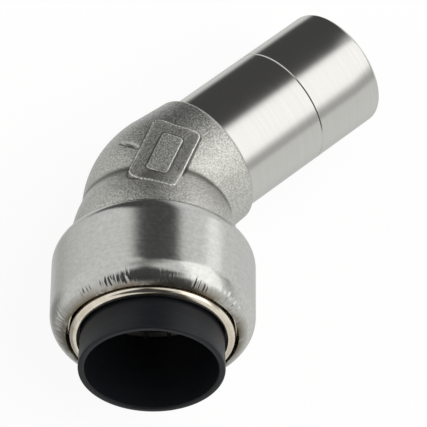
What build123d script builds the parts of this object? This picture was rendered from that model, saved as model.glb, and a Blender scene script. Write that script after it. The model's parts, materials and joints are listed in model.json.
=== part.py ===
"""Forty-five degree push-fit elbow for 15 mm pipe, with a gripping socket and a plain spigot.

The origin is at the middle of the socket's mouth, in the outer face of the retaining ring. The elbow lies on
its side as it comes to rest, on the sleeve's shoulder, the bend and the end of the spigot. The socket opens
towards -Y and a little upwards.
"""

import os
from math import asin, atan2, cos, hypot, radians, sin, sqrt, tan

from build123d import *

# Pipe and bend
pipe_od = 15.0
bend_angle = 45.0
bend_radius = 6.0
socket_reach = 20.95
spigot_reach = 30.75

# Release collar
pipe_clearance = 0.16
collar_wall = 0.77
collar_draft = 0.13
collar_proud = 4.2
collar_nose = 5.7
collar_round = 0.25
bead_height = 0.67
bead_width = 1.25
release_travel = 1.6

# Retaining ring
collar_gap = 0.2
ring_plate = 1.0
ring_round = 0.75
skirt_gap = 0.1
skirt_wall = 0.67

# Grab ring
grab_strip = 0.35
grab_rim = 0.95
tooth_lean = 38.0
tooth_bite = 0.15
tooth_count = 18
tooth_slot = 0.5

# Washer and seal
washer_length = 1.9
washer_land = 0.3
seal_squeeze = 0.2
seat_gap = 0.03

# Sleeve
sheet = 0.9
curl_radius = 2.9
curl_sweep = 70.0
curl_start = 3.3
shoulder_radius = 2.6
shoulder_sweep = 70.0
shoulder_start = 10.1

# Body casting
cup_wall = 1.02
pipe_stop = 16.6
spigot_wall = 1.0
bend_step = 1.1
knuckle_step = 0.75
knuckle_reach = 8.45
knuckle_round = 0.6
flare_lip = 0.05
flare_bulge = 14.0
spigot_round = 0.4
mark_from_end = 10.05
mark_width = 0.2
mark_depth = 0.08

# Size pad on the bend
pad_width = 5.85
pad_length = 9.85
pad_corner = 0.9
pad_across = 0.4
pad_along = -1.05
pad_turn = 19.4
pad_tilt = 4.0
pad_proud = 0.1
pad_edge = 0.12
tablet_width = 2.6
tablet_length = 6.2
tablet_corner = 0.5
tablet_proud = 0.14

# Radii, from the pipe outwards
pipe_radius = pipe_od / 2
bore_radius = pipe_radius + pipe_clearance
collar_radius = bore_radius + collar_wall
bead_radius = collar_radius + bead_height
nose_radius = collar_radius - collar_wall / 2
ring_bore = collar_radius + collar_gap
skirt_bore = bead_radius + skirt_gap
skirt_radius = skirt_bore + skirt_wall
housing_radius = skirt_radius + seat_gap
cup_radius = housing_radius + cup_wall
sleeve_bore = cup_radius + seat_gap
sleeve_radius = sleeve_bore + sheet
waterway_radius = pipe_radius - spigot_wall
bend_tube = pipe_radius + bend_step
knuckle_radius = pipe_radius + knuckle_step

# Stations along the socket, from the mouth inwards
bead_start = ring_plate + seat_gap
bead_end = bead_start + 2 * bead_width
skirt_length = bead_end + release_travel
flange_end = curl_start + seat_gap
cup_end = flange_end + seat_gap
grab_start = skirt_length + seat_gap
washer_start = grab_start + grab_strip + seat_gap
seal_section = housing_radius - pipe_radius + seal_squeeze - seat_gap
seal_start = washer_start + washer_length + seat_gap
groove_end = seal_start + seal_section + seat_gap
bend_tangent = bend_radius * tan(radians(bend_angle / 2))
flare_end = socket_reach - bend_tangent

# Lie of the elbow: the upward direction, seen from the elbow, of the ground that its three low points touch
edge_reach = spigot_reach - spigot_round
edge_radius = pipe_radius - spigot_round
cone_rise = bend_tube - edge_radius
cone_run = edge_reach - bend_tangent
spigot_dip = atan2(cone_rise, cone_run) - asin(spigot_round / hypot(cone_rise, cone_run))
bend_depth = bend_tube * cos(spigot_dip) + bend_tangent * sin(spigot_dip)
shoulder_run = socket_reach - shoulder_start
shoulder_ring = sleeve_radius - shoulder_radius
mouth_lift = atan2(shoulder_ring, shoulder_run) - asin(
    (bend_depth - shoulder_radius) / hypot(shoulder_run, shoulder_ring)
)
up_y = -sin(mouth_lift)
up_x = (-sin(spigot_dip) - up_y * cos(radians(bend_angle))) / sin(radians(bend_angle))
up = Vector(up_x, up_y, sqrt(1 - up_x**2 - up_y**2))
ground = Plane(origin=(0, 0, 0), x_dir=Vector(0, 1, 0).cross(up), z_dir=up)


def across(plane, distance):
    """The plane across a run's axis, the plane's own Y, at a distance along it."""
    return Plane(plane.location * Pos(0, distance, 0) * Rotation(-90, 0, 0))


# Planes of the elbow: along the socket, along the spigot, and across the tube where the bend begins
socket_plane = Plane(ground.location.inverse())
socket_axis = Axis(socket_plane.origin, socket_plane.y_dir)
elbow_plane = Plane(socket_plane.location * Pos(0, socket_reach, 0))
spigot_plane = Plane(elbow_plane.location * Rotation(0, 0, -bend_angle))
spigot_axis = Axis(spigot_plane.origin, spigot_plane.y_dir)
bend_start = across(socket_plane, flare_end)
bend_axis = Axis(bend_start.from_local_coords((bend_radius, 0, 0)), -elbow_plane.z_dir)

# Centres of the sleeve's two rolled ends
curl_centre = (sleeve_radius - curl_radius, curl_start)
shoulder_centre = (sleeve_radius - shoulder_radius, shoulder_start)


def on_arc(centre, radius, angle):
    """A point on a rolled end, by its angle from the outward direction."""
    return (centre[0] + radius * cos(radians(angle)), centre[1] + radius * sin(radians(angle)))


def bend_section(radius):
    """A round section where the bend begins, cut off at the axis that it turns about."""
    with BuildSketch(bend_start) as section:
        Circle(radius)
        with Locations((bend_radius, 0)):
            Rectangle(
                bend_radius + radius, 2 * radius, align=(Align.MAX, Align.CENTER), mode=Mode.INTERSECT
            )
    return section.sketch


# Sleeve: one sheet wall, curled in at the mouth and hooked over the cup's shoulder
with BuildPart() as end_cap:
    with BuildSketch(socket_plane):
        with BuildLine():
            CenterArc(curl_centre, curl_radius, -curl_sweep, curl_sweep)
            Line((sleeve_radius, curl_start), (sleeve_radius, shoulder_start))
            CenterArc(shoulder_centre, shoulder_radius, 0, shoulder_sweep)
            Line(
                on_arc(shoulder_centre, shoulder_radius, shoulder_sweep),
                on_arc(shoulder_centre, shoulder_radius - sheet, shoulder_sweep),
            )
            CenterArc(shoulder_centre, shoulder_radius - sheet, shoulder_sweep, -shoulder_sweep)
            Line((sleeve_bore, shoulder_start), (sleeve_bore, curl_start))
            CenterArc(curl_centre, curl_radius - sheet, 0, -curl_sweep)
            Line(
                on_arc(curl_centre, curl_radius - sheet, -curl_sweep),
                on_arc(curl_centre, curl_radius, -curl_sweep),
            )
        make_face()
    revolve(axis=socket_axis)

# Retaining ring: a rounded face inside the curl, a flange under it, and a skirt that backs the grab ring
flange_seat = curl_radius - sheet - seat_gap
face_radius = on_arc(curl_centre, curl_radius - sheet, -curl_sweep)[0] - 2 * seat_gap
with BuildPart() as retaining_ring:
    with BuildSketch(socket_plane):
        with BuildLine():
            flange_arc = CenterArc(curl_centre, flange_seat, -curl_sweep, curl_sweep / 2)
            face_arc = CenterArc((face_radius - ring_round, ring_round), ring_round, -90, 90)
            Polyline((ring_bore, ring_plate), (ring_bore, 0), face_arc @ 0)
            Polyline(face_arc @ 1, (face_radius, (flange_arc @ 0).Y), flange_arc @ 0)
            Polyline(
                flange_arc @ 1,
                ((flange_arc @ 1).X, flange_end),
                (skirt_radius, flange_end),
                (skirt_radius, skirt_length),
                (skirt_bore, skirt_length),
                (skirt_bore, ring_plate),
                (ring_bore, ring_plate),
            )
        make_face()
    revolve(axis=socket_axis)

# Release collar: a thin sleeve with a bead that the retaining ring holds in
with BuildPart() as release_collar:
    with BuildSketch(socket_plane):
        with BuildLine():
            Polyline(
                (bore_radius, -collar_proud),
                (collar_radius, -collar_proud),
                (collar_radius - collar_draft, 0),
                (collar_radius - collar_draft, bead_start),
                (bead_radius, bead_start),
                (bead_radius, bead_start + bead_width),
                (collar_radius, bead_end),
                (nose_radius, collar_nose),
                (bore_radius, collar_nose),
                close=True,
            )
        make_face()
    revolve(axis=socket_axis)
    mouth_edges = release_collar.edges().filter_by(GeomType.CIRCLE).group_by(socket_axis)[0]
    fillet(mouth_edges, collar_round)

# Grab ring: a flat rim with leaning teeth, cut from one strip
grab_radius = housing_radius - seat_gap
tooth_root = grab_radius - grab_rim
tooth_tip = pipe_radius - tooth_bite
tooth_drop = (tooth_root - tooth_tip) * tan(radians(tooth_lean))
with BuildPart() as grab_ring:
    with BuildSketch(socket_plane):
        with BuildLine():
            Polyline(
                (grab_radius, grab_start),
                (tooth_root, grab_start),
                (tooth_tip, grab_start + tooth_drop),
                (tooth_tip, grab_start + tooth_drop + grab_strip),
                (tooth_root, grab_start + grab_strip),
                (grab_radius, grab_start + grab_strip),
                close=True,
            )
        make_face()
    revolve(axis=socket_axis)
    with BuildSketch(across(socket_plane, grab_start - grab_strip)):
        with PolarLocations((tooth_root + tooth_tip - grab_strip) / 2, tooth_count):
            Rectangle(tooth_root - tooth_tip + grab_strip, tooth_slot)
    extrude(amount=tooth_drop + 3 * grab_strip, mode=Mode.SUBTRACT)

# Washer: backs the grab ring's rim, keeps its teeth off the seal and lets the collar's nose in
washer_bore = nose_radius + collar_gap
with BuildPart() as o_ring_washer:
    with BuildSketch(socket_plane):
        with BuildLine():
            Polyline(
                (grab_radius, washer_start),
                (tooth_root + grab_strip / 2, washer_start),
                (washer_bore, washer_start + washer_length - washer_land),
                (washer_bore, washer_start + washer_length),
                (grab_radius, washer_start + washer_length),
                close=True,
            )
        make_face()
    revolve(axis=socket_axis)

# Seal ring
with BuildPart() as o_ring:
    with BuildSketch(socket_plane):
        with Locations((housing_radius - seat_gap - seal_section / 2, seal_start + seal_section / 2)):
            Circle(seal_section / 2)
    revolve(axis=socket_axis)

# Outer line of the neck, from the cup's shoulder to the bend
cup_shoulder = shoulder_radius - sheet - seat_gap
neck_start = on_arc(shoulder_centre, cup_shoulder, shoulder_sweep)
flare_tip = (bend_tube + flare_lip, flare_end)

# Size pad: a flat plate on the bend that runs on over the neck as a thin skin, with a plain raised tablet
pad_plane = Plane(
    elbow_plane.location
    * Rotation(0, 0, -pad_turn)
    * Rotation(-pad_tilt, 0, 0)
    * Pos(pad_across, pad_along, bend_tube + pad_proud)
)
pad_axis = Axis(pad_plane.origin, pad_plane.z_dir)
with BuildPart() as size_pad:
    with BuildSketch(pad_plane):
        RectangleRounded(pad_width, pad_length, pad_corner)
    extrude(amount=-bend_tube)
    fillet(size_pad.faces().sort_by(pad_axis)[-1].edges(), pad_edge)
    with BuildSketch(pad_plane):
        RectangleRounded(tablet_width, tablet_length, tablet_corner)
    extrude(amount=tablet_proud)
with BuildPart() as neck_pad:
    with BuildSketch(socket_plane):
        with BuildLine():
            skin = RadiusArc(
                (neck_start[0] + pad_proud, neck_start[1]),
                (flare_tip[0] + pad_proud, flare_end),
                -flare_bulge,
            )
            Polyline(skin @ 1, (0, flare_end), (0, neck_start[1]), skin @ 0)
        make_face()
    revolve(axis=socket_axis)
    with BuildSketch(pad_plane):
        RectangleRounded(pad_width - 2 * seat_gap, pad_length - 2 * seat_gap, pad_corner - seat_gap)
    extrude(amount=bend_tube, both=True, mode=Mode.INTERSECT)

# Body: socket cup, flared neck, bend and spigot in one casting
mark_reach = spigot_reach - mark_from_end
with BuildPart() as body:
    with BuildSketch(socket_plane):
        with BuildLine():
            cup_arc = CenterArc(shoulder_centre, cup_shoulder, 0, shoulder_sweep)
            RadiusArc(neck_start, flare_tip, -flare_bulge)
            Polyline(flare_tip, (0, flare_end), (0, cup_end), (cup_radius, cup_end), cup_arc @ 0)
        make_face()
    revolve(axis=socket_axis)

    revolve(bend_section(bend_tube), axis=bend_axis, revolution_arc=bend_angle)

    # Spigot: a round shoulder where the rough casting ends, then the turned end with its depth mark
    with BuildSketch(spigot_plane):
        with BuildLine():
            shoulder_arc = CenterArc(
                (knuckle_radius - knuckle_round, knuckle_reach - knuckle_round), knuckle_round, 0, 90
            )
            end_arc = CenterArc((edge_radius, edge_reach), spigot_round, 0, 90)
            Polyline(
                shoulder_arc @ 1,
                (pipe_radius, knuckle_reach),
                (pipe_radius, mark_reach - mark_width / 2),
                (pipe_radius - mark_depth, mark_reach),
                (pipe_radius, mark_reach + mark_width / 2),
                end_arc @ 0,
            )
            Polyline(
                end_arc @ 1,
                (0, spigot_reach),
                (0, bend_tangent),
                (bend_tube, bend_tangent),
                shoulder_arc @ 0,
            )
        make_face()
    revolve(axis=spigot_axis)

    add(size_pad.part)
    add(neck_pad.part)

    # Housing, pipe seat and waterway
    with BuildSketch(socket_plane):
        with BuildLine():
            Polyline(
                (0, cup_end),
                (housing_radius, cup_end),
                (housing_radius, groove_end),
                (bore_radius, groove_end),
                (bore_radius, pipe_stop),
                (waterway_radius, pipe_stop),
                (waterway_radius, flare_end),
                (0, flare_end),
                close=True,
            )
        make_face()
    revolve(axis=socket_axis, mode=Mode.SUBTRACT)
    revolve(bend_section(waterway_radius), axis=bend_axis, revolution_arc=bend_angle, mode=Mode.SUBTRACT)
    with BuildSketch(across(spigot_plane, bend_tangent)):
        Circle(waterway_radius)
    extrude(amount=spigot_reach - bend_tangent, mode=Mode.SUBTRACT)

os.makedirs("parts", exist_ok=True)
pieces = {
    "body": body,
    "end_cap": end_cap,
    "retaining_ring": retaining_ring,
    "release_collar": release_collar,
    "grab_ring": grab_ring,
    "o_ring_washer": o_ring_washer,
    "o_ring": o_ring,
}
for name, piece in pieces.items():
    piece.part.label = name
    export_step(piece.part, f"parts/{name}.step")
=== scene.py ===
"""Looks of the forty-five degree push-fit elbow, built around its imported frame.

Lengths are in millimetres in the elbow's own frame: Y runs into the socket, X points to the side that the
spigot turns to, and Z points out of the size pad. place() takes them to the shared frame, in metres.
"""

import json
from math import cos, hypot, pi, radians, sin, sqrt, tan

import bmesh
import bpy
import numpy as np
from mathutils import Matrix, Vector


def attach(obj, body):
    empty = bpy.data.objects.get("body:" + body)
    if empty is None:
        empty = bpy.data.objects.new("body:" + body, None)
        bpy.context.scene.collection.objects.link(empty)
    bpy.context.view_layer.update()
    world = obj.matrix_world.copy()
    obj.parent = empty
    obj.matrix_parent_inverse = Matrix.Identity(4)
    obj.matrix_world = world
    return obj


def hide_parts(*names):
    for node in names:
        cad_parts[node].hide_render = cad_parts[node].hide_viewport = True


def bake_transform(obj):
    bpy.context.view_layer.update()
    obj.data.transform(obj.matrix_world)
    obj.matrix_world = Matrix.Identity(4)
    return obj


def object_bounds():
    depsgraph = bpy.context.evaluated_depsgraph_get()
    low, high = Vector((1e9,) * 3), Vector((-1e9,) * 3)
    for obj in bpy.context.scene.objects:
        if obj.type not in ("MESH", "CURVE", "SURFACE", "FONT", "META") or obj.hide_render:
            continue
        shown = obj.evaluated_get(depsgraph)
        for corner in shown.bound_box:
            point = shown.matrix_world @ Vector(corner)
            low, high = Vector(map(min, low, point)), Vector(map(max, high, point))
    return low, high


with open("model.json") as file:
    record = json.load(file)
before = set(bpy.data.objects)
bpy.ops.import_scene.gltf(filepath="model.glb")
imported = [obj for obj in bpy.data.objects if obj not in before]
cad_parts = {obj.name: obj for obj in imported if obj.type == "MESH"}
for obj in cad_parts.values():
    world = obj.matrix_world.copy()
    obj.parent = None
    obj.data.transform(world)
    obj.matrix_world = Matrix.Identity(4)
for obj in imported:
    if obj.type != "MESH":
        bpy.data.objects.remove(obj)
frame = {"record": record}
cad_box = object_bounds()

# Sizes of the pipe, the bend and the two runs
PIPE_RADIUS = 7.5
BEND_ANGLE = radians(45)
BEND_RADIUS = 6.0
SOCKET_REACH = 20.95
SPIGOT_REACH = 30.75
BEND_TANGENT = BEND_RADIUS * tan(BEND_ANGLE / 2)
FLARE_END = SOCKET_REACH - BEND_TANGENT

# Sizes of the pieces, named as in the part's source
SEAT_GAP = 0.03
BORE_RADIUS = 7.66
COLLAR_RADIUS = 8.43
COLLAR_THROAT = 8.3
BEAD_RADIUS = 9.1
COLLAR_PROUD = 4.2
COLLAR_NOSE = 5.7
NOSE_RADIUS = 8.045
BEAD_START = 1.03
BEAD_WIDTH = 1.25
RING_BORE = 8.63
RING_PLATE = 1.0
RING_ROUND = 0.75
SKIRT_BORE = 9.2
SKIRT_RADIUS = 9.87
SKIRT_LENGTH = 5.13
FLANGE_END = 3.33
GRAB_START = SKIRT_LENGTH + SEAT_GAP
GRAB_STRIP = 0.35
GRAB_RADIUS = 9.87
TOOTH_ROOT = 8.92
TOOTH_TIP = 7.35
TOOTH_LEAN = radians(38)
TOOTH_COUNT = 18
TOOTH_SLOT = 0.5
WASHER_START = GRAB_START + GRAB_STRIP + SEAT_GAP
WASHER_LENGTH = 1.9
WASHER_LAND = 0.3
WASHER_BORE = 8.245
SEAL_SECTION = 2.57
SEAL_START = WASHER_START + WASHER_LENGTH + SEAT_GAP
HOUSING_RADIUS = 9.9
HOUSING_END = SEAL_START + SEAL_SECTION + SEAT_GAP
CUP_RADIUS = 10.92
CUP_END = 3.36
SLEEVE_RADIUS = 11.85
SHEET = 0.9
CURL_RADIUS = 2.9
CURL_SWEEP = 70
CURL_CENTRE = (SLEEVE_RADIUS - CURL_RADIUS, 3.3)
SHOULDER_RADIUS = 2.6
SHOULDER_SWEEP = 70
SHOULDER_CENTRE = (SLEEVE_RADIUS - SHOULDER_RADIUS, 10.1)
PIPE_STOP = 16.6
WATERWAY_RADIUS = 6.5
BEND_TUBE = 8.6
KNUCKLE_RADIUS = 8.25
KNUCKLE_REACH = 8.45
KNUCKLE_ROUND = 0.6
FLARE_TIP = (8.65, FLARE_END)
FLARE_BULGE = 14.0
SPIGOT_ROUND = 0.4
MARK_REACH = SPIGOT_REACH - 10.05
MARK_WIDTH = 0.2
MARK_DEPTH = 0.08
PAD_WIDTH = 5.85
PAD_LENGTH = 9.85
PAD_CORNER = 0.9
PAD_ACROSS = 0.4
PAD_ALONG = -1.05
PAD_PROUD = 0.1
PAD_TOP = BEND_TUBE + PAD_PROUD
PAD_TURN = radians(19.4)
PAD_TILT = radians(4)
PAD_EDGE = 0.12
TABLET_WIDTH = 2.6
TABLET_LENGTH = 6.2
TABLET_CORNER = 0.5
TABLET_PROUD = 0.14
TABLET_EDGE = 0.1

# Sizes of the details that only the looks have
COLLAR_EDGE = 0.25
RING_EDGE = 0.1
LIP_STAIN = 1.3  # how far the browning reaches from the rolled lip
WRINKLE_DEPTH = 0.45
WRINKLES_PER_MM = 2.8
WRINKLE_LIP_END = 0.6
WRINKLE_FAR_END = 2.8
CREASE_FILL = 0.25  # softness of the crease between the neck and the bend
PAD_FILL = 0.08  # softness at the foot of the pad and of its tablet
NECK_OVERRUN = 1.5  # how far the neck runs on into the bend
TUBE_OVERLAP = 0.4  # where the bend and the spigot's cast start meet
BORE_PINCH = 0.02  # keeps the inside of the waterway's bend from folding over
NICK_DEPTH = 0.45
NICK_WIDTH = 0.2
NICK_TURN = 120  # degrees around from the side that the spigot turns to
NICK_SPREAD = 11  # half its length, in degrees around
NICK_SLANT = 0.042  # millimetres along for each degree around

# Steps around the pieces and along the casting's skin, and the angle past which an edge stays sharp
SLEEVE_STEPS = 1200
RING_STEPS = 420
HIDDEN_STEPS = 240
BODY_STEPS = 360
SKIN_STEPS = 205
SHARP_ANGLE = radians(32)

# The elbow's own axes, from the two mounts of the record
mounts = {mount["name"]: mount for mount in frame["record"]["mounts"]}
into_socket = -Vector(mounts["socket"]["axis"])
out_of_spigot = Vector(mounts["spigot"]["axis"])
turn_side = (out_of_spigot - into_socket * out_of_spigot.dot(into_socket)).normalized()
pad_side = turn_side.cross(into_socket)
elbow_axes = np.array([turn_side, into_socket, pad_side])


def place(points):
    """Points of the elbow's own frame, in millimetres, as points of the shared frame, in metres."""
    return np.asarray(points) @ elbow_axes / 1000


# Shader and node helpers


class Value:
    """One socket of a node tree. Sums and products of values add Math nodes to the tree."""

    def __init__(self, tree, socket):
        self.tree = tree
        self.socket = socket

    def math(self, operation, first, second):
        return self.tree.node("ShaderNodeMath", {"operation": operation}, {0: first, 1: second})

    def __add__(self, other):
        return self.math("ADD", self, other)

    def __radd__(self, other):
        return self.math("ADD", other, self)

    def __sub__(self, other):
        return self.math("SUBTRACT", self, other)

    def __rsub__(self, other):
        return self.math("SUBTRACT", other, self)

    def __mul__(self, other):
        return self.math("MULTIPLY", self, other)

    def __rmul__(self, other):
        return self.math("MULTIPLY", other, self)

    def __truediv__(self, other):
        return self.math("DIVIDE", self, other)

    def __rtruediv__(self, other):
        return self.math("DIVIDE", other, self)


class Tree:
    """A node tree of a finish, of the studio or of a shape, with one way to add a node."""

    def __init__(self, tree):
        self.tree = tree
        tree.nodes.clear()

    def node(self, kind, settings=None, sockets=None, out=0):
        """Adds a node: its settings first, then its sockets' values or links. Gives one output, if any."""
        made = self.tree.nodes.new(kind)
        for name, setting in (settings or {}).items():
            setattr(made, name, setting)
        for key, value in (sockets or {}).items():
            socket = made.inputs[key]
            if isinstance(value, Value):
                self.tree.links.new(value.socket, socket)
            else:
                socket.default_value = value
        return Value(self, made.outputs[out]) if made.outputs else None

    def scaled(self, vector, scale):
        """A vector times another, axis by axis."""
        return self.node("ShaderNodeVectorMath", {"operation": "MULTIPLY"}, {0: vector, 1: scale})

    def noise(self, vector, scale, detail=2.0, roughness=0.5):
        """Noise between 0 and 1 around 0.5."""
        return self.node(
            "ShaderNodeTexNoise",
            sockets={"Vector": vector, "Scale": scale, "Detail": detail, "Roughness": roughness},
        )

    def smooth(self, value, low, high):
        """0 below low, 1 above high and a soft rise between them."""
        return self.node(
            "ShaderNodeMapRange",
            {"interpolation_type": "SMOOTHSTEP"},
            {"Value": value, "From Min": low, "From Max": high},
        )

    def blend(self, share, first, second):
        """A colour between two others."""
        return self.node("ShaderNodeMix", {"data_type": "RGBA"}, {0: share, 6: first, 7: second}, out=2)


class Finish(Tree):
    """A material under construction."""

    def __init__(self, name):
        self.material = bpy.data.materials.new(name)
        self.material.use_nodes = True
        super().__init__(self.material.node_tree)

    def bump(self, height, depth_mm, under=None):
        """A bumped normal for a height from 0 to 1 that stands for a depth."""
        sockets = {"Height": height, "Distance": depth_mm / 1000}
        if under is not None:
            sockets["Normal"] = under
        return self.node("ShaderNodeBump", sockets=sockets)

    def surface(self, sockets):
        """Ends the material in a principled shader with these sockets."""
        shader = self.node("ShaderNodeBsdfPrincipled", sockets=sockets)
        self.node("ShaderNodeOutputMaterial", sockets={"Surface": shader})
        return self.material

    def millimetres(self):
        """Where a point is, in millimetres."""
        spot = self.node("ShaderNodeTexCoord", out="Object")
        return self.scaled(spot, (1000, 1000, 1000))

    def lathe(self):
        """Where a point is on a turned piece: around it in X and Y, and along its section in Z."""
        return self.node("ShaderNodeAttribute", {"attribute_name": "turn"}, out="Vector")

    def mask(self, name):
        """A share that was worked out with the mesh."""
        return self.node("ShaderNodeAttribute", {"attribute_name": name}, out="Fac")


# Finishes


def cast_steel():
    """Pickled casting: matt grey, sandy grain, soft lumps, painted shade and dirt in creases, rubbed rims
    with painted highlights.
    """
    finish = Finish("cast_steel")
    spot = finish.millimetres()
    sand = finish.noise(spot, 4.4, 3.0, 0.7)
    fine = finish.noise(spot, 9.0, 2.0, 0.6)
    lumps = finish.noise(spot, 0.8, 2.0)
    # This mask darkens the creases, the foot of the pad and its tablet, the side nick and the pad's flat:
    # painted shade, with a little dirt on the pad's flat.
    painted_shade_and_dirt = finish.mask("painted_shade_and_dirt")
    # This mask lightens the top rims of the pad and its tablet: rubbed metal, and a painted highlight along
    # those edges.
    rubbed_and_glint = finish.mask("rubbed_and_glint")
    mottle = finish.smooth(sand + lumps * 0.1, 0.4, 0.7)
    tone = finish.blend(mottle, (0.37, 0.37, 0.346, 1), (0.58, 0.575, 0.55, 1))
    rubbed_and_glint_tone = finish.blend(rubbed_and_glint, tone, (0.93, 0.92, 0.89, 1))
    colour = finish.blend(painted_shade_and_dirt, rubbed_and_glint_tone, (0.07, 0.066, 0.055, 1))
    grain = finish.bump(fine, 0.02, finish.bump(sand, 0.075, finish.bump(lumps, 0.04)))
    return finish.surface(
        {
            "Base Color": colour,
            "Metallic": 1.0,
            "Roughness": 0.17 + 0.14 * sand,
            "Normal": grain,
        }
    )


def turned_steel():
    """Spigot: bright turned steel with fine lathe lines."""
    finish = Finish("turned_steel")
    where = finish.lathe()
    lines = finish.noise(finish.scaled(where, (0.05, 0.05, 11.0)), 1.0, 3.0, 0.7)
    clouds = finish.noise(where, 0.35, 2.0)
    streaks = finish.smooth(lines, 0.3, 0.7)
    return finish.surface(
        {
            "Base Color": finish.blend(streaks, (0.495, 0.49, 0.475, 1), (0.525, 0.52, 0.505, 1)),
            "Metallic": 1.0,
            "Roughness": 0.13 + 0.04 * lines + 0.04 * clouds,
            "Normal": finish.bump(lines, 0.0005),
        }
    )


def brushed_sleeve():
    """Drawn sheet: satin, brushed around, mottled, and browned along its rolled lip."""
    finish = Finish("brushed_sleeve")
    where = finish.lathe()
    brush = finish.noise(finish.scaled(where, (0.12, 0.12, 8.0)), 1.0, 3.0, 0.7)
    mottle = finish.noise(where, 2.2, 3.0, 0.6)
    clouds = finish.noise(where, 0.3, 2.0)
    satin = finish.smooth(mottle * 0.6 + brush * 0.4, 0.3, 0.7)
    tone = finish.blend(satin, (0.44, 0.44, 0.425, 1), (0.55, 0.55, 0.535, 1))
    stain = finish.mask("lip") * finish.smooth(clouds * 0.6 + mottle * 0.4, 0.3, 0.55)
    return finish.surface(
        {
            "Base Color": finish.blend(stain, tone, (0.13, 0.1, 0.06, 1)),
            "Metallic": 1.0,
            "Roughness": 0.13 + 0.08 * mottle + 0.04 * clouds,
            "Normal": finish.bump(brush, 0.0008, finish.bump(mottle, 0.0025)),
        }
    )


def bright_ring():
    """Retaining ring: polished, a little warm, with faint turning lines."""
    finish = Finish("bright_ring")
    where = finish.lathe()
    lines = finish.noise(finish.scaled(where, (0.06, 0.06, 9.0)), 1.0, 2.0, 0.6)
    clouds = finish.noise(where, 0.6, 2.0)
    tarnish = finish.smooth(clouds, 0.3, 0.7)
    return finish.surface(
        {
            "Base Color": finish.blend(tarnish, (0.6, 0.54, 0.45, 1), (0.74, 0.69, 0.61, 1)),
            "Metallic": 1.0,
            "Roughness": 0.08 + 0.06 * clouds,
            "Normal": finish.bump(lines, 0.002),
        }
    )


def black_collar():
    """Moulded collar: black plastic with a low gloss and fine marks of the mould."""
    finish = Finish("black_collar")
    where = finish.lathe()
    grain = finish.noise(where, 5.0, 3.0, 0.6)
    marks = finish.noise(finish.scaled(where, (0.3, 0.3, 3.0)), 1.0, 2.0)
    streaks = finish.smooth(marks, 0.3, 0.7)
    return finish.surface(
        {
            "Base Color": finish.blend(streaks, (0.009, 0.01, 0.013, 1), (0.012, 0.013, 0.0165, 1)),
            "Roughness": 0.34 + 0.14 * grain,
            "Specular IOR Level": 0.22,
            "Normal": finish.bump(grain, 0.006),
        }
    )


def spring_steel():
    """Grab ring: blanked spring steel, coloured near black as painted shade for the inside of the fitting.
    """
    finish = Finish("spring_steel")
    grain = finish.noise(finish.millimetres(), 4.0, 3.0, 0.6)
    steel_mottle = finish.smooth(grain, 0.3, 0.7)
    return finish.surface(
        {
            # Both colours are near black: painted shade for teeth that sit deep in the fitting.
            "Base Color": finish.blend(steel_mottle, (0.05, 0.05, 0.049, 1), (0.08, 0.08, 0.078, 1)),
            "Metallic": 1.0,
            "Roughness": 0.26 + 0.12 * grain,
            "Normal": finish.bump(grain, 0.01),
        }
    )


def washer_plastic():
    """Washer: pale moulded plastic."""
    finish = Finish("washer_plastic")
    grain = finish.noise(finish.millimetres(), 3.0, 3.0, 0.6)
    flow = finish.smooth(grain, 0.3, 0.7)
    return finish.surface(
        {
            "Base Color": finish.blend(flow, (0.5, 0.49, 0.45, 1), (0.58, 0.57, 0.53, 1)),
            "Roughness": 0.45 + 0.1 * grain,
            "Normal": finish.bump(grain, 0.01),
        }
    )


def seal_rubber():
    """Seal: black rubber, greased in places."""
    finish = Finish("seal_rubber")
    spot = finish.millimetres()
    grain = finish.noise(spot, 4.0, 3.0, 0.6)
    grease = finish.noise(spot, 0.7, 2.0)
    bloom = finish.smooth(grain, 0.3, 0.7)
    return finish.surface(
        {
            "Base Color": finish.blend(bloom, (0.01, 0.01, 0.01, 1), (0.02, 0.02, 0.02, 1)),
            "Roughness": 0.3 + 0.35 * grease,
            "Normal": finish.bump(grain, 0.012),
        }
    )


# Shapes


def arc(centre, radius, start, end, points):
    """Points of a section along an arc, by their angles in degrees from the outward direction."""
    angles = np.radians(np.linspace(start, end, points))
    return [(centre[0] + radius * cos(a), centre[1] + radius * sin(a)) for a in angles]


def on_section(centre, radius, angle):
    """One point of a section, on an arc."""
    return arc(centre, radius, angle, angle, points=1)[0]


def line(start, end, parts):
    """Points of a section along a line, without its first point."""
    shares = np.linspace(0, 1, parts + 1)[1:]
    return [(start[0] + (end[0] - start[0]) * s, start[1] + (end[1] - start[1]) * s) for s in shares]


def even_angles(count):
    """Angles around a turned piece."""
    return np.linspace(0, 2 * pi, count, endpoint=False)


def around(section, angles):
    """The rows of points of a section, given as radius and station, turned about the socket's axis."""
    section = np.array(section)
    rows = np.empty((len(section), len(angles), 3))
    rows[..., 0] = section[:, :1] * np.cos(angles)
    rows[..., 1] = section[:, 1:]
    rows[..., 2] = section[:, :1] * np.sin(angles)
    return rows


def keep_values(mesh, name, values, kind="FLOAT"):
    """Keeps values of the points with the mesh, for its finish."""
    attribute = mesh.attributes.new(name, kind, "POINT")
    field = "value" if kind == "FLOAT" else "vector"
    attribute.data.foreach_set(field, np.ravel(values).astype(np.float32))


def face_outwards(mesh):
    """Turns the faces of a closed mesh outwards."""
    solid = bmesh.new()
    solid.from_mesh(mesh)
    bmesh.ops.recalc_face_normals(solid, faces=solid.faces)
    solid.to_mesh(mesh)
    solid.free()


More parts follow.
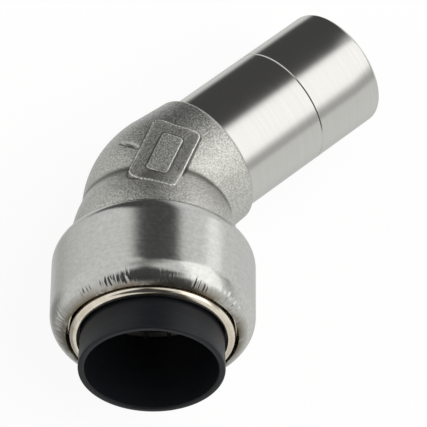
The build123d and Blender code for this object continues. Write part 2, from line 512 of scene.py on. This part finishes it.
def closed_piece(name, rows, angles, finishes, row_finish=None):
    """A closed shell from rows of points that join around the piece and around its section."""
    count, segments = rows.shape[:2]
    index = np.arange(count * segments).reshape(count, segments)
    up = np.roll(index, -1, axis=0)
    faces = np.stack([index, np.roll(index, -1, axis=1), np.roll(up, -1, axis=1), up], axis=-1)
    mesh = bpy.data.meshes.new(name)
    mesh.from_pydata(place(rows.reshape(-1, 3)).tolist(), [], faces.reshape(-1, 4).tolist())
    steps = np.linalg.norm(np.diff(rows[:, 0], axis=0), axis=1)
    along = np.concatenate([[0], np.cumsum(steps)])
    girth = np.linalg.norm(rows[:, 0] - rows[:, segments // 2], axis=1).mean() / 2
    turn = np.empty((count, segments, 3))
    turn[..., 0] = girth * np.cos(angles)
    turn[..., 1] = girth * np.sin(angles)
    turn[..., 2] = along[:, None]
    keep_values(mesh, "turn", turn, "FLOAT_VECTOR")
    for finish in finishes:
        mesh.materials.append(finish)
    if row_finish is not None:
        mesh.polygons.foreach_set("material_index", np.repeat(row_finish, segments).astype(np.int32))
    face_outwards(mesh)
    mesh.shade_smooth()
    mesh.set_sharp_from_angle(angle=SHARP_ANGLE)
    piece = bpy.data.objects.new(name, mesh)
    bpy.context.collection.objects.link(piece)
    return piece


def shape_tree(name, sizes):
    """A shape tree with named inputs for its sizes and its finish. Gives the tree and its inputs."""
    group = bpy.data.node_groups.new(name, "GeometryNodeTree")
    inputs = {"Geometry": "NodeSocketGeometry", **sizes, "Finish": "NodeSocketMaterial"}
    for label, kind in inputs.items():
        group.interface.new_socket(label, in_out="INPUT", socket_type=kind)
    group.interface.new_socket("Geometry", in_out="OUTPUT", socket_type="NodeSocketGeometry")
    tree = Tree(group)
    return tree, {label: tree.node("NodeGroupInput", out=label) for label in inputs}


def shaped(piece, group, inputs):
    """Runs a shape tree on a piece and keeps the result as its plain mesh."""
    modifier = piece.modifiers.new(group.name, "NODES")
    modifier.node_group = group
    for item in group.interface.items_tree:
        if item.in_out == "INPUT" and item.name in inputs:
            modifier[item.identifier] = inputs[item.name]
    evaluated = piece.evaluated_get(bpy.context.evaluated_depsgraph_get())
    mesh = bpy.data.meshes.new_from_object(evaluated)
    piece.modifiers.remove(modifier)
    mesh.name = piece.name
    piece.data = mesh


def settle(piece, body, node):
    """Hands a finished piece to the frame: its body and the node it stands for."""
    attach(piece, body)
    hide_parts(node)


# Sleeve


def wrinkle_tree():
    """Shape tree for the short wrinkles where the sheet was rolled in at the mouth."""
    names = ("Depth", "Wrinkles per mm", "Lip end", "Far end")
    tree, size = shape_tree("rolled_lip_wrinkles", dict.fromkeys(names, "NodeSocketFloat"))
    turn = tree.node("GeometryNodeInputNamedAttribute", {"data_type": "FLOAT_VECTOR"}, {"Name": "turn"})
    station = tree.node("ShaderNodeSeparateXYZ", sockets={0: turn}, out=2)
    around_only = tree.scaled(turn, (1.0, 1.0, 0.0))
    drawn_out = tree.scaled(turn, (1.0, 1.0, 0.16))
    ridges = tree.noise(drawn_out, size["Wrinkles per mm"], 2.0, 0.6)
    patches = tree.noise(around_only, 0.22, 1.0)
    ends = tree.noise(around_only, 0.9, 2.0)
    reach = size["Far end"] - (size["Far end"] - size["Lip end"]) * ends
    rise = tree.smooth(station, size["Lip end"] - 0.3, size["Lip end"] + 0.4)
    fall = 1 - tree.smooth(station, reach - 0.7, reach + 0.5)
    height = (ridges - 0.5) * rise * fall * tree.smooth(patches, 0.4, 0.66) * size["Depth"]
    normal = tree.node("GeometryNodeInputNormal")
    offset = tree.node("ShaderNodeVectorMath", {"operation": "SCALE"}, {0: normal, "Scale": height})
    moved = tree.node("GeometryNodeSetPosition", sockets={"Geometry": size["Geometry"], "Offset": offset})
    real = tree.node("GeometryNodeRealizeInstances", sockets={"Geometry": moved})
    done = tree.node("GeometryNodeSetMaterial", sockets={"Geometry": real, "Material": size["Finish"]})
    tree.node("NodeGroupOutput", sockets={0: done})
    return tree.tree


def make_sleeve():
    """The sheet over the cup, curled in at the mouth and hooked over the cup's shoulder."""
    finish = brushed_sleeve()
    angles = even_angles(SLEEVE_STEPS)
    lip = on_section(CURL_CENTRE, CURL_RADIUS, -CURL_SWEEP)
    outer = arc(CURL_CENTRE, CURL_RADIUS, -CURL_SWEEP, 0, points=26)
    outer += line(outer[-1], (SLEEVE_RADIUS, SHOULDER_CENTRE[1]), parts=6)
    outer += arc(SHOULDER_CENTRE, SHOULDER_RADIUS, 0, SHOULDER_SWEEP, points=14)[1:]
    inner = arc(SHOULDER_CENTRE, SHOULDER_RADIUS - SHEET, SHOULDER_SWEEP, 0, points=6)
    inner += arc(CURL_CENTRE, CURL_RADIUS - SHEET, 0, -CURL_SWEEP, points=8)
    section = outer + inner
    piece = closed_piece("brushed_sleeve", around(section, angles), angles, [finish])
    lips = [max(0.0, 1 - hypot(r - lip[0], y - lip[1]) / LIP_STAIN) for r, y in section]
    keep_values(piece.data, "lip", np.repeat(lips, len(angles)))
    inputs = {
        "Depth": WRINKLE_DEPTH / 1000,
        "Wrinkles per mm": WRINKLES_PER_MM,
        "Lip end": WRINKLE_LIP_END,
        "Far end": WRINKLE_FAR_END,
        "Finish": finish,
    }
    shaped(piece, wrinkle_tree(), inputs)
    settle(piece, "fitting", "end_cap")


# Retaining ring, collar, washer and seal


def make_ring():
    """The ring inside the curl, with its rounded nose, its flange and the skirt behind it."""
    nose = on_section(CURL_CENTRE, CURL_RADIUS - SHEET, -CURL_SWEEP)[0] - 2 * SEAT_GAP
    flange = arc(CURL_CENTRE, CURL_RADIUS - SHEET - SEAT_GAP, -CURL_SWEEP, -CURL_SWEEP / 2, points=8)
    section = [(RING_BORE, RING_PLATE)]
    section += arc((RING_BORE + RING_EDGE, RING_EDGE), RING_EDGE, 180, 270, points=6)
    section += arc((nose - RING_ROUND, RING_ROUND), RING_ROUND, -90, 0, points=14)
    section += [(nose, flange[0][1])] + flange
    section += [(flange[-1][0], FLANGE_END), (SKIRT_RADIUS, FLANGE_END), (SKIRT_RADIUS, SKIRT_LENGTH)]
    section += [(SKIRT_BORE, SKIRT_LENGTH), (SKIRT_BORE, RING_PLATE)]
    angles = even_angles(RING_STEPS)
    piece = closed_piece("bright_ring", around(section, angles), angles, [bright_ring()])
    settle(piece, "fitting", "retaining_ring")


def make_collar():
    """The collar, with its rounded mouth, its throat, the bead that keeps it in and its nose."""
    front = COLLAR_EDGE - COLLAR_PROUD
    section = arc((BORE_RADIUS + COLLAR_EDGE, front), COLLAR_EDGE, 180, 270, points=7)
    section += arc((COLLAR_RADIUS - COLLAR_EDGE, front), COLLAR_EDGE, -90, 0, points=7)
    section += line(section[-1], (COLLAR_THROAT, 0), parts=8)
    section += [(COLLAR_THROAT, BEAD_START), (BEAD_RADIUS, BEAD_START)]
    section += [(BEAD_RADIUS, BEAD_START + BEAD_WIDTH), (COLLAR_RADIUS, BEAD_START + 2 * BEAD_WIDTH)]
    section += [(NOSE_RADIUS, COLLAR_NOSE), (BORE_RADIUS, COLLAR_NOSE)]
    section += line(section[-1], section[0], parts=9)[:-1]
    angles = even_angles(RING_STEPS)
    piece = closed_piece("black_collar", around(section, angles), angles, [black_collar()])
    settle(piece, "collar", "release_collar")


def make_washer():
    """The washer between the teeth and the seal, hollowed to a cone for the teeth."""
    angles = even_angles(HIDDEN_STEPS)
    section = [
        (GRAB_RADIUS, WASHER_START),
        (TOOTH_ROOT + GRAB_STRIP / 2, WASHER_START),
        (WASHER_BORE, WASHER_START + WASHER_LENGTH - WASHER_LAND),
        (WASHER_BORE, WASHER_START + WASHER_LENGTH),
        (GRAB_RADIUS, WASHER_START + WASHER_LENGTH),
    ]
    piece = closed_piece("pale_washer", around(section, angles), angles, [washer_plastic()])
    settle(piece, "fitting", "o_ring_washer")


def make_seal():
    """The round seal at the back of the housing."""
    angles = even_angles(HIDDEN_STEPS)
    middle = (HOUSING_RADIUS - SEAT_GAP - SEAL_SECTION / 2, SEAL_START + SEAL_SECTION / 2)
    section = arc(middle, SEAL_SECTION / 2, 0, 345, points=24)
    piece = closed_piece("rubber_seal", around(section, angles), angles, [seal_rubber()])
    settle(piece, "fitting", "o_ring")


# Body casting: its skin is where a field of distances is zero, found along lines out of the bend's middle

CAST_END = KNUCKLE_REACH - KNUCKLE_ROUND
FAN_RADIUS = CAST_END / tan(BEND_ANGLE / 2)
FAN_START = SOCKET_REACH - CAST_END
crossing = np.array([0, SOCKET_REACH, 0])


def flare_centre():
    """Centre of the neck's arc, through the end of the cup's shoulder and the tip at the bend."""
    start = np.array(on_section(SHOULDER_CENTRE, SHOULDER_RADIUS - SHEET - SEAT_GAP, SHOULDER_SWEEP))
    tip = np.array(FLARE_TIP)
    half = (tip - start) / 2
    lead = np.array([-half[1], half[0]]) / np.linalg.norm(half)
    return start + half + lead * sqrt(FLARE_BULGE**2 - half @ half)


NECK_CENTRE = flare_centre()


def neck_radius(station):
    """Radius of the flared neck at a station along the socket's axis."""
    return NECK_CENTRE[0] + np.sqrt(FLARE_BULGE**2 - (station - NECK_CENTRE[1]) ** 2)


def soft_union(first, second, softness):
    """The lower of two fields, with the valley between their surfaces filled in a little."""
    part = np.clip(0.5 + 0.5 * (second - first) / softness, 0, 1)
    return second + (first - second) * part - softness * part * (1 - part)


def band(distance, middle, width):
    """A share of 1 where a distance has its middle value, which falls off softly to both sides."""
    return np.exp(-(((distance - middle) / width) ** 2))


def spigot_reach_and_distance(points):
    """How far points are along the spigot's axis, and away from it."""
    away = points - crossing
    reach = away[..., 0] * sin(BEND_ANGLE) + away[..., 1] * cos(BEND_ANGLE)
    side = away[..., 0] * cos(BEND_ANGLE) - away[..., 1] * sin(BEND_ANGLE)
    return reach, np.hypot(side, away[..., 2])


def neck_field(points):
    """The flared neck, run on a little way into the bend."""
    end = FLARE_END + NECK_OVERRUN
    distance = np.hypot(points[..., 0], points[..., 2])
    return np.maximum(distance - neck_radius(np.clip(points[..., 1], 0, end)), points[..., 1] - end)


def tube_field(points):
    """The bend and the cast start of the spigot, which overlap a little where they meet."""
    reach, distance = spigot_reach_and_distance(points)
    knuckle = np.interp(reach, [BEND_TANGENT, CAST_END], [BEND_TUBE, KNUCKLE_RADIUS])
    run = np.maximum(distance - knuckle, BEND_TANGENT - reach - TUBE_OVERLAP)
    x = points[..., 0] - BEND_RADIUS
    y = points[..., 1] - FLARE_END
    ring = np.hypot(np.hypot(x, y) - BEND_RADIUS, points[..., 2]) - BEND_TUBE
    bend = np.maximum(np.maximum(ring, x), np.maximum(-y, reach - BEND_TANGENT) - TUBE_OVERLAP)
    return np.minimum(bend, run)


def turned_away(points, turn):
    """Where points are across and along a line that leaves the crossing at a turn from the socket's axis."""
    away = points - crossing
    across = away[..., 0] * cos(turn) - away[..., 1] * sin(turn)
    along = away[..., 0] * sin(turn) + away[..., 1] * cos(turn)
    return across, along


def outline(across, along, width, length, corner):
    """How far points are outside a rectangle with round corners."""
    x = np.abs(across) - width / 2 + corner
    y = np.abs(along) - length / 2 + corner
    return np.hypot(np.maximum(x, 0), np.maximum(y, 0)) + np.minimum(np.maximum(x, y), 0) - corner


def pad_outlines(points):
    """How far points are outside the size pad and outside its tablet, and above the pad's flat."""
    across, along = turned_away(points, PAD_TURN)
    tilted = along * cos(PAD_TILT) - points[..., 2] * sin(PAD_TILT)
    height = along * sin(PAD_TILT) + points[..., 2] * cos(PAD_TILT)
    across, along = across - PAD_ACROSS, tilted - PAD_ALONG
    pad = outline(across, along, PAD_WIDTH, PAD_LENGTH, PAD_CORNER)
    tablet = outline(across, along, TABLET_WIDTH, TABLET_LENGTH, TABLET_CORNER)
    return pad, tablet, height - PAD_TOP


def plate(flat, height, edge):
    """A plate with an outline and a rounded top edge, down to the elbow's middle plane."""
    wall, roof = flat + edge, height + edge
    corner = np.hypot(np.maximum(wall, 0), np.maximum(roof, 0))
    rounded = np.minimum(np.maximum(wall, roof), 0) + corner - edge
    return np.maximum(rounded, -height - PAD_TOP)


def side_nick(points):
    """The short slanting nick beside the pad: a share of 1 along its middle."""
    across, along = turned_away(points, BEND_ANGLE / 2)
    turn = np.degrees(np.arctan2(points[..., 2], across)) - NICK_TURN
    return np.clip(1 - (turn / NICK_SPREAD) ** 2, 0, 1) * band(along, NICK_SLANT * turn, NICK_WIDTH)


def cast_field(points):
    """The casting's outer skin: negative inside it."""
    neck = neck_field(points)
    bare = soft_union(neck, tube_field(points), CREASE_FILL) + NICK_DEPTH * side_nick(points)
    pad, tablet, height = pad_outlines(points)
    on_neck = np.maximum(np.maximum(pad + SEAT_GAP, neck - PAD_PROUD), points[..., 1] - FLARE_END)
    padded = np.minimum(bare, soft_union(plate(pad, height, PAD_EDGE), on_neck, PAD_FILL))
    return soft_union(padded, plate(tablet, height - TABLET_PROUD, TABLET_EDGE), PAD_FILL)


def fan_rows(angles):
    """Rows of points on the casting's skin, in planes that fan out around the inside of the bend."""
    fan = np.linspace(0, BEND_ANGLE, SKIN_STEPS)[:, None]
    x, y = FAN_RADIUS * (1 - np.cos(fan)), FAN_START + FAN_RADIUS * np.sin(fan)
    middle = np.stack([x, y, 0 * fan], axis=-1)
    away = np.stack(
        [
            np.cos(angles) * np.cos(fan),
            -np.cos(angles) * np.sin(fan),
            np.sin(angles) + 0 * fan,
        ],
        axis=-1,
    )
    outermost, innermost, over_a_step = 13.9, 7.1, 0.12
    high = np.full(away.shape[:2], outermost)
    for guess in np.linspace(outermost, innermost, 60):
        outside = cast_field(middle + away * guess) > 0
        high = np.where(outside, guess, high)
    low = high - over_a_step
    for _ in range(20):
        guess = (low + high) / 2
        outside = cast_field(middle + away * guess[..., None]) > 0
        high = np.where(outside, guess, high)
        low = np.where(outside, low, guess)
    return middle + away * low[..., None]


def spigot_rows(section, angles):
    """Rows of points of a section, given as radius and reach, turned about the spigot's axis."""
    section = np.array(section)
    radius, reach = section[:, :1], section[:, 1:]
    rows = np.empty((len(section), len(angles), 3))
    rows[..., 0] = radius * np.cos(angles) * cos(BEND_ANGLE) + reach * sin(BEND_ANGLE)
    rows[..., 1] = SOCKET_REACH - radius * np.cos(angles) * sin(BEND_ANGLE) + reach * cos(BEND_ANGLE)
    rows[..., 2] = radius * np.sin(angles)
    return rows


def bore_rows(angles, count):
    """Rows of points of the waterway around the bend, from the spigot's end of it."""
    rows = np.empty((count, len(angles), 3))
    radial = BEND_RADIUS - np.minimum(WATERWAY_RADIUS * np.cos(angles), BEND_RADIUS - BORE_PINCH)
    turn = np.linspace(BEND_ANGLE, 0, count)[:, None]
    rows[..., 0] = BEND_RADIUS - radial * np.cos(turn)
    rows[..., 1] = FLARE_END + radial * np.sin(turn)
    rows[..., 2] = WATERWAY_RADIUS * np.sin(angles)
    return rows


def pad_angles(count):
    """Angles around the casting, closer together towards the size pad."""
    crowding, spread = 3.5, radians(24)
    fine = np.linspace(0, 2 * pi, 4001)
    density = 1 + crowding * band(fine, pi / 2, spread)
    total = np.concatenate([[0], np.cumsum((density[1:] + density[:-1]) / 2)])
    return np.interp(np.arange(count) / count, total / total[-1], fine)


def skin_shade_and_glints(skin):
    """Shares of painted shade with some dirt, and of rubbed metal with painted highlights, over the
    casting's skin.
    """
    pad, tablet, height = pad_outlines(skin)
    on_pad = np.clip(1 + height / 0.4, 0, 1)
    valley = np.exp(-((neck_field(skin) ** 2 + tube_field(skin) ** 2) / 0.21**2))
    foot = band(pad, 0.1, 0.12) * np.clip(height / -0.15, 0, 1)
    tablet_foot = band(tablet, 0.06, 0.1) * on_pad
    pad_floor = np.clip((-0.25 - pad) / 0.3, 0, 1) * np.clip((tablet + 0.1) / 0.1, 0, 1) * on_pad
    # Darkening in the valley, at the foot of the pad and its tablet, in the side nick and over the pad's
    # flat: painted shade, with a little dirt on the pad's flat.
    shade_and_dirt_share = 0.95 * valley + 0.95 * foot + 0.6 * tablet_foot + 0.3 * pad_floor + 0.85 * side_nick(skin)
    # Lightening along the top rims of the pad and its tablet: rubbed metal with a painted highlight.
    rim_glints = band(pad, -0.1, 0.08) + band(tablet, -0.08, 0.07)
    return np.clip(shade_and_dirt_share, 0, 1), np.clip(rim_glints * on_pad, 0, 1)


def make_body():
    """The casting: cup, neck, bend and pad, then the turned spigot, the waterway and the pipe's seat."""
    angles = pad_angles(BODY_STEPS)
    shoulder = arc(SHOULDER_CENTRE, SHOULDER_RADIUS - SHEET - SEAT_GAP, 0, SHOULDER_SWEEP, points=8)
    cup = [(HOUSING_RADIUS, CUP_END), (CUP_RADIUS, CUP_END)] + shoulder
    cup += [(float(neck_radius(y)), y) for y in np.linspace(shoulder[-1][1], FAN_START, 8)[1:-1]]
    knuckle = arc((KNUCKLE_RADIUS - KNUCKLE_ROUND, CAST_END), KNUCKLE_ROUND, 0, 90, points=8)[1:]
    end_round = (PIPE_RADIUS - SPIGOT_ROUND, SPIGOT_REACH - SPIGOT_ROUND)
    turned = [(PIPE_RADIUS, KNUCKLE_REACH)]
    turned += line(turned[-1], (PIPE_RADIUS, MARK_REACH - MARK_WIDTH / 2), parts=4)
    turned += [(PIPE_RADIUS - MARK_DEPTH, MARK_REACH), (PIPE_RADIUS, MARK_REACH + MARK_WIDTH / 2)]
    turned += line(turned[-1], (PIPE_RADIUS, SPIGOT_REACH - SPIGOT_ROUND), parts=3)
    turned += arc(end_round, SPIGOT_ROUND, 0, 90, points=8)[1:]
    turned += [(WATERWAY_RADIUS, SPIGOT_REACH)]
    seat = [(WATERWAY_RADIUS, PIPE_STOP), (BORE_RADIUS, PIPE_STOP), (BORE_RADIUS, HOUSING_END)]
    seat += [(HOUSING_RADIUS, HOUSING_END)]
    skin = fan_rows(angles)
    spigot = spigot_rows(turned, angles)
    runs = [
        around(cup, angles),
        skin,
        spigot_rows(knuckle, angles),
        spigot,
        bore_rows(angles, 14),
        around(seat, angles),
    ]
    rows = np.concatenate(runs)
    row_finish = np.concatenate([np.full(len(run), run is spigot) for run in runs])
    piece = closed_piece("cast_body", rows, angles, [cast_steel(), turned_steel()], row_finish)
    # Masks of painted shade and of rubbed rims with painted highlights, kept on the casting's skin.
    for name, skin_share in zip(("painted_shade_and_dirt", "rubbed_and_glint"), skin_shade_and_glints(skin)):
        shares = np.zeros(rows.shape[:2])
        shares[len(cup) : len(cup) + len(skin)] = skin_share
        keep_values(piece.data, name, shares)
    settle(piece, "fitting", "body")


# Grab ring


def tooth_mesh():
    """One leaning tooth with its share of the rim, around angle 0, the socket's axis as Z, open rim ends."""
    drop = (TOOTH_ROOT - TOOTH_TIP) * tan(TOOTH_LEAN)
    front = [(TOOTH_ROOT, GRAB_START)]
    front += line(front[0], (TOOTH_TIP, GRAB_START + drop), parts=20)
    tooth = front + [(radius, station + GRAB_STRIP) for radius, station in front[::-1]]
    section = [(GRAB_RADIUS, GRAB_START)] + tooth + [(GRAB_RADIUS, GRAB_START + GRAB_STRIP)]
    half_pitch = pi / TOOTH_COUNT
    size, columns = len(section), 7
    rim = [0, 1, size - 2, size - 1]
    points = []
    for side in np.linspace(-1, 1, columns):
        for radius, station in section:
            angle = side * (half_pitch - TOOTH_SLOT / 2 / min(radius, TOOTH_ROOT))
            points.append((radius * cos(angle), radius * sin(angle), station))
    for angle in (-half_pitch, half_pitch):
        points += [(r * cos(angle), r * sin(angle), s) for r, s in (section[k] for k in rim)]
    last = (columns - 1) * size
    rings = [[step * size + k for k in range(size)] for step in range(columns)]
    first_end, last_end = ([columns * size + side + k for k in range(4)] for side in (0, 4))
    joins = list(zip(rings, rings[1:])) + [(first_end, rim), ([last + k for k in rim], last_end)]
    faces = [tuple(range(1, size - 1))[::-1], tuple(range(last + 1, last + size - 1))]
    for near, far in joins:
        for k in range(len(near)):
            after = (k + 1) % len(near)
            faces.append((near[k], near[after], far[after], far[k]))
    mesh = bpy.data.meshes.new("grab_tooth")
    mesh.from_pydata(points, [], faces)
    return mesh


def tooth_tree():
    """Shape tree that sets one tooth around the ring, as often as it is asked."""
    tree, size = shape_tree("teeth_around", {"Teeth": "NodeSocketInt"})
    spots = tree.node("GeometryNodeMeshLine", sockets={"Count": size["Teeth"], "Offset": (0, 0, 0)})
    number = tree.node("GeometryNodeInputIndex")
    turn = tree.node("ShaderNodeCombineXYZ", sockets={"Z": number * (2 * pi) / size["Teeth"]})
    set_around = tree.node(
        "GeometryNodeInstanceOnPoints",
        sockets={"Points": spots, "Instance": size["Geometry"], "Rotation": turn},
    )
    real = tree.node("GeometryNodeRealizeInstances", sockets={"Geometry": set_around})
    joined = tree.node("GeometryNodeMergeByDistance", sockets={"Geometry": real, "Distance": 0.01})
    done = tree.node("GeometryNodeSetMaterial", sockets={"Geometry": joined, "Material": size["Finish"]})
    tree.node("NodeGroupOutput", sockets={0: done})
    return tree.tree


def make_grab_ring():
    """The toothed ring, its teeth leaning in ahead of the collar's nose."""
    piece = bpy.data.objects.new("grab_teeth", tooth_mesh())
    bpy.context.collection.objects.link(piece)
    shaped(piece, tooth_tree(), {"Teeth": TOOTH_COUNT, "Finish": spring_steel()})
    lathe = Matrix(((1, 0, 0, 0), (0, 0, 1, 0), (0, -1, 0, 0), (0, 0, 0, 1)))
    to_frame = Matrix((elbow_axes.T / 1000).tolist()).to_4x4()
    piece.data.transform(to_frame @ lathe)
    face_outwards(piece.data)
    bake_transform(piece)
    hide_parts("grab_ring")


make_sleeve()
make_ring()
make_collar()
make_washer()
make_seal()
make_body()
make_grab_ring()

# Studio: a pale dome with soft-edged cards, each laid over those before it, and white to the camera.
# A card has the azimuth and elevation that it hangs at, half its width and height, the softness of its
# edge, and its colour.

UP = (0, 0, 1)
AHEAD = (0, 1, 0)
DOME_COLOUR = (0.98, 0.985, 0.96, 1)
CARDS = {
    "ground": ((0, -90), (0.7, 0.7), 0.25, (0.68, 0.685, 0.67, 1)),
    "front": ((-150, -62), (0.5, 0.3), 0.2, (0.4, 0.4, 0.39, 1)),
    "strip light": ((47, 17), (0.1, 0.12), 0.04, (1.5, 1.5, 1.5, 1)),
    "main light": ((10, 53), (0.58, 0.33), 0.05, (1.8, 1.79, 1.76, 1)),
    "gap under it": ((6, 21), (0.36, 0.11), 0.05, (0.6, 0.6, 0.58, 1)),
    "ceiling": ((140, 60), (0.3, 0.22), 0.15, (0.35, 0.35, 0.34, 1)),
    "apron": ((-78, 26), (0.24, 0.44), 0.1, (0.08, 0.08, 0.08, 1)),
    "shade": ((-120, 49), (0.42, 0.48), 0.1, (0.07, 0.07, 0.07, 1)),
    "dark panel": ((103, 12), (0.33, 0.7), 0.09, (0.09, 0.09, 0.09, 1)),
}

# Half of the floor's side, in metres, and the share of plain white that the camera sees on it
FLOOR_HALF = 3.0
FLOOR_WHITE = 0.88

# The photograph's view: its lens, where it stands, and its axes to the right, down and forward
VIEW_LENS = 303.865
VIEW_STAND = (-29.536, -238.808, 334.967)
VIEW_RIGHT = (0.99358, 0.00619, 0.11294)
VIEW_DOWN = (0.07351, -0.79425, -0.60312)
VIEW_FORWARD = (0.08597, 0.60755, -0.78961)


def card(studio, facing, half_size, softness):
    """A share of 1 where the dome has a soft-edged rectangular card, and 0 elsewhere."""
    azimuth, elevation = (radians(angle) for angle in facing)
    level = cos(elevation)
    facing = Vector((level * cos(azimuth), level * sin(azimuth), sin(elevation))).normalized()
    lying = abs(facing.z) > 0.999
    aside = facing.cross(Vector(AHEAD if lying else UP)).normalized()
    upright = aside.cross(facing)
    view = studio.node("ShaderNodeTexCoord", out="Generated")

    def seen(direction):
        return studio.node(
            "ShaderNodeVectorMath", {"operation": "DOT_PRODUCT"}, {0: view, 1: direction}, out="Value"
        )

    share = studio.smooth(seen(facing), 0.0, 0.2)
    for direction, half in zip((aside, upright), half_size):
        away = studio.node("ShaderNodeMath", {"operation": "ABSOLUTE"}, {0: seen(direction)})
        share = share * (1 - studio.smooth(away, half - softness, half + softness))
    return share


def light_studio():
    """The dome with its cards, which the part mirrors. The camera sees plain white."""
    world = bpy.data.worlds.new("studio")
    world.use_nodes = True
    bpy.context.scene.world = world
    studio = Tree(world.node_tree)
    dome = DOME_COLOUR
    for facing, half_size, softness, colour in CARDS.values():
        dome = studio.blend(card(studio, facing, half_size, softness), dome, colour)
    lit = studio.node("ShaderNodeBackground", sockets={"Color": dome, "Strength": 1.0})
    white = studio.node("ShaderNodeBackground", sockets={"Color": (1, 1, 1, 1), "Strength": 1.0})
    to_camera = studio.node("ShaderNodeLightPath", out="Is Camera Ray")
    seen = studio.node("ShaderNodeMixShader", sockets={0: to_camera, 1: lit, 2: white})
    studio.node("ShaderNodeOutputWorld", sockets={"Surface": seen})


def lay_floor():
    """A pale floor under the part, nearly white to the camera, with the part's soft shadow."""
    low = float(cad_box[0][2])
    mesh = bpy.data.meshes.new("floor")
    signs = ((-1, -1), (1, -1), (1, 1), (-1, 1))
    mesh.from_pydata([(x * FLOOR_HALF, y * FLOOR_HALF, low) for x, y in signs], [], [(0, 1, 2, 3)])
    floor = bpy.data.objects.new("floor", mesh)
    bpy.context.collection.objects.link(floor)
    finish = Finish("pale_floor")
    matt = finish.node("ShaderNodeBsdfDiffuse", sockets={"Color": (0.95, 0.95, 0.95, 1)})
    white = finish.node("ShaderNodeEmission", sockets={"Color": (1, 1, 1, 1), "Strength": 1.03})
    to_camera = finish.node("ShaderNodeLightPath", out="Is Camera Ray")
    mixed = finish.node("ShaderNodeMixShader", sockets={0: to_camera * FLOOR_WHITE, 1: matt, 2: white})
    finish.node("ShaderNodeOutputMaterial", sockets={"Surface": mixed})
    mesh.materials.append(finish.material)
    floor.visible_glossy = False


def set_camera():
    """The photograph's view, fitted to the part's outline."""
    data = bpy.data.cameras.new("photo_view")
    data.sensor_width = 36
    data.lens = VIEW_LENS
    data.clip_start = 0.01
    camera = bpy.data.objects.new("photo_view", data)
    bpy.context.collection.objects.link(camera)
    right, down, forward = (place(axis) * 1000 for axis in (VIEW_RIGHT, VIEW_DOWN, VIEW_FORWARD))
    turned = Matrix(np.array([right, -down, -forward]).T.tolist()).to_4x4()
    camera.matrix_world = Matrix.Translation(place(VIEW_STAND)) @ turned
    bpy.context.scene.camera = camera


light_studio()
lay_floor()
set_camera()
bpy.context.scene.view_settings.view_transform = "Standard"
